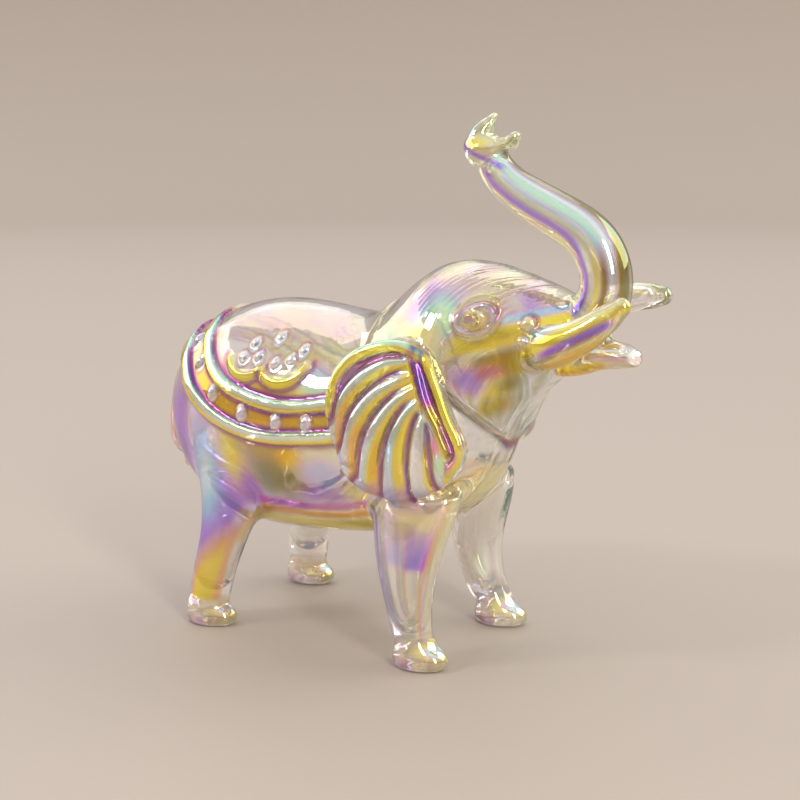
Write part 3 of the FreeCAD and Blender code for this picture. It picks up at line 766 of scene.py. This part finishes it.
def paint_body(coat, is_a, skin, x, y, z):
    """Back, flank, belly and rump; skin also weighs in the legs' tops."""
    body = skin + is_a["saddle_blanket"]
    cloud = np.sin(x * 0.42 + 1.9 * np.sin(y * 0.31) + z * 0.5)
    coat.lay(body * ramp(z, 52, 57) * ramp(cloud, -0.6, 0.4), "lilac", 0.35)
    coat.lay(body * ramp(z, 53, 58) * ramp(-cloud, 0.1, 0.9), "cream", 0.35)
    coat.lay(body * ramp(x, 27, 33) * ramp(z, 50, 56), "cream", 0.6)
    coat.lay(skin * (1 - ramp(x, -5.5, -1.0)) * (1 - ramp(z, 40, 50)), "violet", 0.85)
    lay_spots(coat, skin, FLANK_SPOTS, x, z)
    low = z - 0.010 * (x - 20) ** 2 * (x > 20)
    belly = is_a["torso_bulb"]
    coat.lay(belly * stripe(low, 24.4, 26.0, 0.5), "magenta", 0.9)
    coat.lay(belly * stripe(low, 22.6, 24.2, 0.5), "orange")
    coat.lay(belly * (1 - ramp(low, 21.6, 22.8)), "lemon", 0.9)
    coat.lay(belly * (1 - ramp(low, 18.6, 20.0)), "cream", 0.7)
    coat.lay(belly * (1 - ramp(low, 24.0, 27.0)) * (1 - ramp(x, 7, 11)), "violet", 0.6)
    coat.lay(skin * ramp(x, 38, 44) * (1 - ramp(z, 44, 50)), "cream", 0.7)
    # Painted shade on the skin just under the blanket's edge.
    edge = distance_to(curve(EDGE, RIM_STEPS), x, z)
    coat.lay(skin * (1 - ramp(edge, 1.6, 2.6)) * (z < 52), "mauve", 0.8)


def paint_head(coat, is_a, x, y, z):
    """Forehead, temple and cheek."""
    head = is_a["head_bulb"]
    swirl = np.sin(x * 0.9 + z * 0.5 + 1.7 * np.sin(z * 0.45 + x * 0.2))
    coat.lay(head * ramp(z, 56, 62), "lilac", 0.45)
    coat.lay(head * ramp(z, 61, 66) * (0.5 + 0.5 * swirl), "cream", 0.7)
    lay_spots(coat, head, CROWN_SPOTS, x, z)
    wave, where = wrinkles(x, y, z)
    # Painted shade in the wrinkles' troughs.
    coat.lay(head * where * ramp(-wave, 0.35, 0.9), "mauve", 0.55)
    slope = z - 54.5 - (x - 51.5) * 0.26
    coat.lay(head * stripe(slope, 0.0, 3.8, 0.6) * ramp(x, 50, 52.5), "lemon")
    coat.lay(head * stripe(slope, 3.9, 5.0, 0.5) * ramp(x, 57, 60), "blue", 0.8)
    # Painted refraction: a dark brown stripe on the lower cheek.
    coat.lay(head * stripe(slope, -4.6, -0.6, 0.7) * ramp(x, 53, 56.5), "brown")
    lay_spots(coat, head, CHEEK_SPOTS, x, z)
    paint_jaw_and_eyes(coat, is_a, x, z)


def paint_jaw_and_eyes(coat, is_a, x, z):
    """The throat behind the jaw line, the eyes, and the beads at the tusks' roots."""
    head = is_a["head_bulb"]
    line = curve(JAW, RIM_STEPS)
    behind = side_of(line, x, z)
    near = distance_to(line, x, z)
    both = head | is_a["torso_bulb"]
    coat.lay(both * (behind > 0) * (1 - ramp(near, 4.5, 7.0)) * (z > 37), "white", 0.95)
    # Painted shade in the crease along the jaw line.
    coat.lay(both * bump_at(behind - 0.2, 0.6) * (near < 1.4), "mauve")
    along, across, almond = eye_place(x, z)
    eyes = head | is_a["left_eye"] | is_a["right_eye"]
    brow = np.hypot(along / BROW[0], across / BROW[1])
    coat.lay(eyes * (1 - ramp(brow, 1.0, 1.15)), "cream", 0.8)
    coat.lay(eyes * bump_at(brow - 1.08, 0.05), "olive", 0.8)
    # Painted highlight on the raised lid line; painted shade at its outer foot and in the eye's
    # hollow.
    coat.lay(eyes * bump_at(almond - 1.0, 0.16), "white", 0.6)
    coat.lay(eyes * bump_at(almond - 1.32, 0.12), "mauve", 0.9)
    coat.lay(eyes * bump_at(almond - 0.72, 0.10), "mauve", 0.9)
    coat.lay(eyes * (almond < 0.6) * (across < 0), "lemon", 0.6)
    pupil = np.hypot(along + 0.2, across)
    coat.lay(eyes * bump_at(pupil - 1.1, 0.25), "olive", 0.9)
    # Painted shade round the pupil, and a painted glint at its middle.
    coat.lay(eyes * bump_at(pupil - 0.5, 0.3), "mauve")
    coat.lay(eyes * (1 - ramp(pupil, 0.1, 0.35)), "white")
    for cx, cz, radius in DROPS:
        gap = np.hypot(x - cx, z - cz) / radius
        drops = head | is_a["right_tusk"] | is_a["left_tusk"]
        coat.lay(drops * (1 - ramp(gap, 0.9, 1.1)), "cream", 0.8)
        # Painted shade in the shallow ring round each bead.
        coat.lay(drops * bump_at(gap - 1.1, 0.12), "mauve", 0.9)


def paint_blanket(coat, is_a, x, z):
    """Cloth, gold ground between the rims, scrolls, rims and beads, with painted shade at their
    feet and painted highlights on rims and beads.
    """
    cloth = is_a["saddle_blanket"]
    edge_line = curve(EDGE, RIM_STEPS)
    braid_line = curve(BRAID, RIM_STEPS)
    edge = distance_to(edge_line, x, z)
    edge_side = side_of(edge_line, x, z)
    braid = distance_to(braid_line, x, z)
    braid_side = side_of(braid_line, x, z)
    between = cloth * (braid_side > 0)
    middle = cloth * (braid_side <= 0)
    coat.lay(between * 1.0, "gold")
    coat.lay(between * (1 - ramp(x, -6, 1)), "cream", 0.85)
    coat.lay(middle * (1 - ramp(z, 46.5, 50.5)), "lemon")
    lay_spots(coat, cloth, CLOTH_SPOTS, x, z)
    coat.lay(middle * ramp(z, 51, 56), "lilac", 0.5)
    coat.lay(middle * ramp(z, 47, 51), "clear", 0.35)
    for line in SCROLLS:
        scroll = curve(line)
        gap = distance_to(scroll, x, z)
        below = side_of(scroll, x, z)
        # Painted shade under each scroll.
        coat.lay(cloth * bump_at(gap - 1.3, 0.5) * (below > 0), "mauve")
        coat.lay(cloth * bump_at(gap, 0.8), "lemon")
    for line, below, radius in ((edge, edge_side, 1.1), (braid, braid_side, 1.0)):
        # Painted shade at the feet of the rims.
        coat.lay(cloth * stripe(line, radius, radius + 0.9, 0.2), "mauve")
        coat.lay(cloth * (1 - ramp(line, radius - 0.2, radius + 0.2)), "mint", 0.8)
        coat.lay(cloth * stripe(below, 0.1, radius, 0.25) * (line < radius), "lemon")
        # Painted highlight along one side of each rim.
        coat.lay(cloth * bump_at(below + 0.3, 0.35) * (line < radius), "white", 0.8)
    for beads, long, high in ((BEADS, 1.2, 1.6), (MEDALLION_BEADS, 1.05, 1.3)):
        for cx, cz in beads:
            gap = np.hypot((x - cx) / long, (z - cz) / high)
            # Painted highlight: each bead pale all over, with painted shade round its foot.
            coat.lay(cloth * (1 - ramp(gap, 0.85, 1.0)), "pearl")
            coat.lay(cloth * bump_at(gap - 1.15, 0.13), "mauve", 0.8)


def paint_ears(coat, is_a, points, normals, x, z):
    """The ears' outer faces: lobes with painted highlights, the tongue and fold in front, the
    rolled top, and painted shade in the valleys.
    """
    ears = is_a["left_ear"] | is_a["right_ear"]
    facing = np.where(points[:, 1] < 0, -1.0, 1.0) * normals[:, 1]
    face = np.flatnonzero(ears & (facing > 0.0))
    which, other, beside, room, u, v = ear_place(x[face], z[face], points[face, 1] > 0)
    layer = Coat(len(face), "lilac")
    near = np.abs(beside)
    lobe = which < TONGUE
    out = np.hypot(u - 47.6, v - 51.0)
    fleck = np.sin(u * 5.1 + 1.3 * np.sin(v * 3.7)) * np.sin(v * 4.3 + 1.1 * np.sin(u * 2.9))
    # Painted highlight along the side of each lobe behind its middle line.
    layer.lay(lobe * ramp(-beside, -0.5, 0.3), "white", 0.8)
    layer.lay(lobe * ramp(-beside, 0.1, 0.7) * (fleck > 0.1), "lilac", 0.6)
    layer.lay(lobe * (which == 3) * ramp(-beside, 0.2, 0.7) * spot(u, v, 42.8, 39.6, 3, 4.5),
              "blue", 0.95)
    layer.lay(lobe * ramp(beside, -0.45, 0.1), "mint", 0.8)
    layer.lay(lobe * ramp(beside, -0.1, 0.5), "lemon")
    layer.lay(lobe * ramp(beside, 0.4, 1.1) * ramp(out, 9, 14) * (which < 3), "gold", 0.8)
    layer.lay(lobe * (which < 2) * (v < 46) * ramp(out, 12, 16) * (beside > -0.3), "orange", 0.45)
    # Painted highlight down the fifth lobe.
    layer.lay((which == 4) * (beside < 1.0) * ramp(out, 4, 7), "white", 0.9)
    layer.lay((which == 5) * spot(u, v, 51.4, 40.6, 1.2, 2.4), "rose", 0.9)
    layer.lay((which == 5) * spot(u, v, 52.3, 37.4, 1.2, 2.2), "mint", 0.9)
    layer.lay((1 - ramp(v, 31.5, 34.0)) * lobe, "violet", 0.5)
    layer.lay(lobe * (1 - ramp(out, 2.5, 5.0)), "lemon", 0.9)
    upper = ramp(v, 45.5, 48.5)
    tongue, fold, roll = which == TONGUE, which == FOLD, which == ROLL
    layer.lay(tongue * 1.0, "olive")
    layer.lay(tongue * ramp(-beside, 0.1, 0.5), "lemon")
    # Painted shade beside the tongue.
    layer.lay(tongue * upper * ramp(beside, -0.7, -0.2), "mauve")
    layer.lay(fold * 1.0, "lemon")
    # Painted shade in the fold's channel.
    layer.lay(fold * (1 - ramp(beside, -0.6, -0.1)), "mauve")
    layer.lay(fold * (v < 39.5) * (beside < 0.3), "magenta", 0.5)
    layer.lay(roll * 1.0, "lemon")
    layer.lay(roll * ramp(-beside, 0.2, 0.9), "mint", 0.85)
    # Painted shade along the roll's lower side.
    layer.lay(roll * ramp(beside, 0.6, 1.0), "mauve")
    # Painted shade in the valleys between lobes and welts.
    groove = valley(which, other, room, 1.5) * (near < 3.2) * ramp(out, 3.0, 6.0)
    layer.lay(groove * 1.6, "mauve")
    weight = ramp(facing[face], 0.0, 0.3)[:, None]
    coat.values[face] += (layer.values - coat.values[face]) * weight


def paint_legs(coat, legs, owner, x, z, nx, ny, nz):
    """Upright bands round the legs with a painted highlight on the forelegs, and the clear feet
    with a painted highlight on top.
    """
    round_leg = np.degrees(np.arctan2(nx, ny))      # 0 looks out, 90 looks ahead
    rear = legs & (x < 20)
    fore = legs & (x >= 20)
    coat.lay(legs * stripe(round_leg, -95, -30, 8), "violet", 0.8)
    coat.lay(legs * stripe(round_leg, -42, -26, 5), "blue", 0.6)
    coat.lay(fore * stripe(round_leg, -16, 16, 8) * ramp(z, 17, 20), "lilac", 0.9)
    coat.lay(fore * stripe(round_leg, 16, 52, 6) * ramp(z, 17, 19), "violet", 0.95)
    coat.lay(fore * stripe(round_leg, 44, 54, 4) * ramp(z, 16, 19), "magenta", 0.9)
    coat.lay(fore * stripe(round_leg, 54, 64, 4) * ramp(z, 16, 19), "orange", 0.8)
    coat.lay(fore * stripe(round_leg, 0, 40, 6) * stripe(z, 25.0, 28.0, 0.8), "cream")
    coat.lay(fore * stripe(round_leg, 50, 60, 5) * (1 - ramp(z, 15, 18)), "orange", 0.8)
    # Painted highlight: a white strip low on the forelegs.
    coat.lay(fore * stripe(round_leg, 60, 68, 4) * (1 - ramp(z, 15, 18)), "white", 0.8)
    coat.lay(fore * stripe(round_leg, 66, 105, 6), "cream", 0.9)
    slant = z - 0.8 * (x - 2.0)
    coat.lay(rear * ramp(slant, 13, 18) * (1 - ramp(round_leg, 30, 60)), "violet", 0.85)
    # The rump's painted highlight, carried onto the rear leg's top.
    coat.lay(rear * spot(x, z, 2.0, 24, 3.0, 5), "blue", 0.8)
    coat.lay(rear * stripe(round_leg, -34, 60, 8) * (1 - ramp(slant, 13, 18)), "orange", 0.85)
    coat.lay(rear * stripe(round_leg, -16, 40, 7) * (1 - ramp(slant, 11, 15)), "lemon", 0.9)
    coat.lay(rear * stripe(round_leg, 60, 95, 8) * ramp(z, 15, 18), "gold", 0.7)
    feet = owned(owner, *[name for name in NAMES if "foot" in name])
    coat.lay(feet * 1.0, "cream", 0.8)
    coat.lay(feet * (1 - ramp(nz, -0.2, 0.4)) * (nx < 0.2), "violet", 0.5)
    coat.lay(feet * stripe(nz, 0.3, 0.55, 0.1), "lemon", 0.6)
    # Painted highlight on the feet's upward faces.
    coat.lay(feet * ramp(nz, 0.5, 0.8), "white", 0.85)


def paint_trunk(coat, is_a, x, z, nx, ny):
    """Bands along the trunk, the pinched tip and the collar between them."""
    trunk = is_a["trunk_tube"]
    line = curve([(row[0], row[1]) for row in TRUNK], 60)
    above = ramp(z, 69, 76)
    twist = np.degrees(np.arctan2(side_of(line, x, z) / TRUNK_RADIUS, ny + 1e-6))
    twist = twist - TRUNK_TURN * above
    where = {"everywhere": 1.0, "rising": 1 - above, "leaning": above}
    coat.lay(trunk * 1.0, "cream", 0.8)
    for tone, strength, low, high, soft, part in TRUNK_BANDS:
        coat.lay(trunk * stripe(twist, low, high, soft) * where[part], tone, strength)
    tip = is_a["trunk_tip"]
    coat.lay(tip * 1.0, "cream", 0.6)
    coat.lay(tip * (1 - ramp(nx, -0.5, 0.3)), "mint", 0.8)
    coat.lay(tip * spot(x, z, 49.5, 88.8, 2.4, 1.6), "lemon", 0.9)
    collar = z + (x - 50) * 0.45
    at_collar = (tip | trunk) * (1 - ramp(x, 53.5, 55.0))
    coat.lay(at_collar * stripe(collar, 86.5, 87.5, 0.25), "violet", 0.95)
    coat.lay(at_collar * stripe(collar, 85.3, 86.3, 0.25), "cream", 0.8)


def paint_tusks_and_lip(coat, is_a, x, z, nz):
    """Bands along the tusks with a painted highlight on top, and the lip's pale top of painted
    sheen and its golden underside.
    """
    tusks = is_a["left_tusk"] | is_a["right_tusk"]
    along = z - 57.2 - (x - 66.0) * 0.52
    coat.lay(tusks * 1.0, "cream", 0.9)
    coat.lay(tusks * stripe(along, -1.0, 1.2, 0.6) * (1 - ramp(x, 70, 76)), "lemon")
    coat.lay(tusks * stripe(along, -1.0, 0.6, 0.4) * ramp(x, 70, 74), "lemon", 0.8)
    coat.lay(tusks * stripe(along, -2.4, -1.0, 0.3) * stripe(x, 66.5, 78.5, 1.5), "violet")
    # Painted refraction: a dark brown line below the violet band.
    coat.lay(tusks * stripe(along, -2.9, -2.3, 0.3) * stripe(x, 67, 77, 1.5), "brown", 0.8)
    coat.lay(tusks * (1 - ramp(along, -3.6, -2.9)), "gold", 0.7)
    # Painted highlight along the tusks' tops.
    coat.lay(tusks * ramp(along, 1.4, 2.2), "white", 0.7)
    coat.lay(tusks * ramp(along, 1.4, 2.2) * (1 - ramp(x, 64, 68)), "blue", 0.7)
    mouth = is_a["lower_lip"]
    coat.lay(mouth * 1.0, "cream", 0.6)
    # Painted sheen on the lip's upward faces.
    coat.lay(mouth * ramp(nz, 0.1, 0.5), "pearl", 0.6)
    coat.lay(mouth * stripe(nz, 0.05, 0.3, 0.1), "lilac", 0.8)
    coat.lay(mouth * stripe(nz, -0.25, 0.0, 0.1) * ramp(x, 70, 74), "magenta", 0.6)
    coat.lay(mouth * (1 - ramp(nz, -0.4, -0.2)) * (1 - ramp(x, 72, 76)), "lemon")
    coat.lay(mouth * (1 - ramp(nz, -0.8, -0.5)) * (1 - ramp(x, 72, 76)), "orange", 0.7)


def lustre(points, normals, owner, web):
    """Colour, film thickness, veil and haze at every point of the skin, the colour with painted
    shade, highlights and refraction in it.
    """
    x, y, z = stations(points)
    side = np.where(points[:, 1] < 0, -1.0, 1.0)
    nx, ny, nz = normals[:, 0], normals[:, 1] * side, normals[:, 2]
    coat = Coat(len(points), "clear")
    is_a = {name: owner == NAMES.index(name) for name in NAMES}
    legs = owned(owner, *LEGS)
    paint_legs(coat, legs, owner, x, z, nx, ny, nz)
    paint_body(coat, is_a, is_a["torso_bulb"] + legs * ramp(z, 19, 26), x, y, z)
    paint_blanket(coat, is_a, x, z)
    paint_ears(coat, is_a, points, normals, x, z)
    paint_trunk(coat, is_a, x, z, nx, ny)
    paint_tusks_and_lip(coat, is_a, x, z, nz)
    coat.lay(is_a["tail"] * 1.0, "rose", 0.45)
    paint_head(coat, is_a, x, y, z)
    far = legs | is_a["left_tusk"] | is_a["right_tusk"] | is_a["tail"]
    coat.lay(far * (side > 0), "clear", 0.85)
    return web.blurred(coat.values, 1)


# ---- materials ----------------------------------------------------------------------

GLASS_IOR = 1.5
COAT_IOR = 2.2             # of the lustre's thin film
FILM_DRIFT = 50.0          # nanometres the film thickens and thins over the surface
WAVES_PER_METRE = 140.0    # the faint waviness of drawn glass
WAVE_DEPTH = 0.4 * MM
WAVE_STRENGTH = 0.25
INNER_TINT = (0.99, 0.99, 0.985, 1)


def new_node(tree, kind, **settings):
    """A new node of the tree, with its settings."""
    made = tree.nodes.new(kind)
    for key, value in settings.items():
        setattr(made, key, value)
    return made


def attribute(tree, name, socket="Fac"):
    """The values stored on the mesh under a name."""
    return new_node(tree, "ShaderNodeAttribute", attribute_name=name).outputs[socket]


def wavy_glass(name):
    """Clear glass with a faint waviness: the material, its shader and its waves."""
    material = bpy.data.materials.new(name)
    material.use_nodes = True
    tree = material.node_tree
    shader = tree.nodes["Principled BSDF"]
    shader.inputs["Transmission Weight"].default_value = 1.0
    shader.inputs["Roughness"].default_value = 0.0
    shader.inputs["IOR"].default_value = GLASS_IOR
    where = new_node(tree, "ShaderNodeTexCoord")
    wave = new_node(tree, "ShaderNodeTexNoise")
    wave.inputs["Scale"].default_value = WAVES_PER_METRE
    wave.inputs["Detail"].default_value = 2.0
    tree.links.new(where.outputs["Object"], wave.inputs["Vector"])
    bump = new_node(tree, "ShaderNodeBump")
    bump.inputs["Strength"].default_value = WAVE_STRENGTH
    bump.inputs["Distance"].default_value = WAVE_DEPTH
    tree.links.new(wave.outputs["Fac"], bump.inputs["Height"])
    tree.links.new(bump.outputs["Normal"], shader.inputs["Normal"])
    return material, shader, wave


def inner_glass():
    """The bare inner face of a blown wall."""
    material, shader, _ = wavy_glass("inner_glass")
    shader.inputs["Base Color"].default_value = INNER_TINT
    return material


def lustre_glass():
    """The outer face: the lustre laid on it with its painted shade, highlights and refraction,
    under a thin film of drifting thickness.
    """
    material, shader, wave = wavy_glass("lustre_glass")
    tree = material.node_tree
    shader.inputs["Thin Film IOR"].default_value = COAT_IOR
    tree.links.new(attribute(tree, "veil"), shader.inputs["Metallic"])
    tree.links.new(attribute(tree, "clearness"), shader.inputs["Transmission Weight"])
    tree.links.new(attribute(tree, "tone", "Color"), shader.inputs["Base Color"])
    drift = new_node(tree, "ShaderNodeMath", operation="MULTIPLY_ADD")
    drift.inputs[1].default_value = FILM_DRIFT
    tree.links.new(wave.outputs["Fac"], drift.inputs[0])
    tree.links.new(attribute(tree, "film"), drift.inputs[2])
    shift = new_node(tree, "ShaderNodeMath", operation="SUBTRACT")
    shift.inputs[1].default_value = FILM_DRIFT / 2
    tree.links.new(drift.outputs[0], shift.inputs[0])
    tree.links.new(shift.outputs[0], shader.inputs["Thin Film Thickness"])
    return material


shares = build_pieces()
outer = lustre_glass()
inner = inner_glass()
for piece_name in NAMES:
    made = piece_from(piece_name, shares[piece_name])
    made.data.materials.append(outer)
    made.data.materials.append(inner)

# ---- floor, light and camera ---------------------------------------------------------

FLAT = 0.9                 # metres out to where the floor starts to curve up
BEND = 0.3                 # radius of that curve
BEND_TURN = 80             # degrees it turns through
BELOW = 0.05 * MM          # how far the floor lies below the soles
FLOOR_TONE = (0.44, 0.365, 0.30, 1)
HORIZON = (0.12, (0.46, 0.42, 0.38, 1))     # height on the sky's ramp, and tone there
OVERHEAD = (0.8, (0.90, 0.92, 0.97, 1))
SOFTBOXES = [              # name, place, height aimed at, size, all in metres; watts
    ("left", (-1.08, -0.24, 0.40), 0.04, (1.35, 0.75), 4.6),
    ("right", (0.70, 0.78, 0.60), 0.04, (1.05, 1.05), 6.6),
    ("spark", (-0.42, -0.52, 0.52), 0.05, (0.12, 0.12), 1.4),
    ("strip", (0.60, -0.36, 0.38), 0.05, (0.12, 0.5), 2.6),
    ("over", (-0.5, 0.5, 0.75), 0.05, (1.0, 0.7), 1.6),
]


def bowl():
    """A plain round floor that curves up far away, so that the camera sees no edge of it."""
    points = []
    faces = []
    around = 96
    steps = 12
    profile = [(0.001, 0.0), (0.3, 0.0), (FLAT, 0.0)]
    for step in range(1, steps + 1):
        turn = math.radians(BEND_TURN * step / steps)
        profile.append((FLAT + BEND * math.sin(turn), BEND - BEND * math.cos(turn)))
    for radius, height in profile:
        for j in range(around):
            turn = 2 * math.pi * j / around
            points.append((radius * math.cos(turn), radius * math.sin(turn), height - BELOW))
    for i in range(len(profile) - 1):
        for j in range(around):
            k = (j + 1) % around
            faces.append((i * around + j, (i + 1) * around + j, (i + 1) * around + k,
                          i * around + k))
    faces.append(tuple(range(around)))
    mesh = bpy.data.meshes.new("floor")
    mesh.from_pydata(points, [], faces)
    mesh.polygons.foreach_set("use_smooth", [True] * len(mesh.polygons))
    holder = bpy.data.objects.new("floor", mesh)
    bpy.context.scene.collection.objects.link(holder)
    return holder


def floor_paint():
    material = bpy.data.materials.new("floor")
    material.use_nodes = True
    shader = material.node_tree.nodes["Principled BSDF"]
    shader.inputs["Base Color"].default_value = FLOOR_TONE
    shader.inputs["Roughness"].default_value = 0.55
    return material


def studio_sky():
    """A room that is warm and dim at the horizon and pale overhead."""
    world = bpy.data.worlds.new("world")
    bpy.context.scene.world = world
    world.use_nodes = True
    sky = world.node_tree
    direction = new_node(sky, "ShaderNodeTexCoord")
    upward = new_node(sky, "ShaderNodeSeparateXYZ")
    sky.links.new(direction.outputs["Generated"], upward.inputs["Vector"])
    fade = new_node(sky, "ShaderNodeValToRGB")
    fade.color_ramp.interpolation = "EASE"
    for end, (height, tone) in zip(fade.color_ramp.elements, (HORIZON, OVERHEAD)):
        end.position = height
        end.color = tone
    sky.links.new(upward.outputs["Z"], fade.inputs["Fac"])
    sky.links.new(fade.outputs["Color"], sky.nodes["Background"].inputs["Color"])
    sky.nodes["Background"].inputs["Strength"].default_value = 1.0


def softbox(name, place, aim_height, size, power):
    """A rectangular light that faces the middle of the object."""
    light = bpy.data.lights.new(name, "AREA")
    light.shape = "RECTANGLE"
    light.size, light.size_y = size
    light.energy = power
    holder = bpy.data.objects.new(name, light)
    holder.location = place
    aim = Vector((0, 0, aim_height)) - Vector(place)
    holder.rotation_euler = aim.to_track_quat("-Z", "Y").to_euler()
    holder.visible_camera = False
    bpy.context.scene.collection.objects.link(holder)


def camera_at(turn, drop, distance, target):
    """A camera off the right flank, turned towards the face and looking down."""
    data = bpy.data.cameras.new("camera")
    data.sensor_width = 36
    data.lens = 72
    data.clip_start = 0.01
    camera = bpy.data.objects.new("camera", data)
    level = math.cos(drop)
    sight = Vector((-math.sin(turn) * level, math.cos(turn) * level, -math.sin(drop)))
    camera.location = Vector(target) - sight * distance
    camera.rotation_euler = sight.to_track_quat("-Z", "Y").to_euler()
    bpy.context.scene.collection.objects.link(camera)
    bpy.context.scene.camera = camera


floor = bowl()
floor.data.materials.append(floor_paint())
studio_sky()
for box in SOFTBOXES:
    softbox(*box)

scene = bpy.context.scene
scene.cycles.max_bounces = 24
scene.cycles.transmission_bounces = 24
scene.cycles.glossy_bounces = 8
scene.view_settings.view_transform = "Standard"
camera_at(turn=math.radians(33.2), drop=math.radians(11.2), distance=0.287,
          target=((32.3 - MIDDLE) * MM, 0, 43.1 * MM))
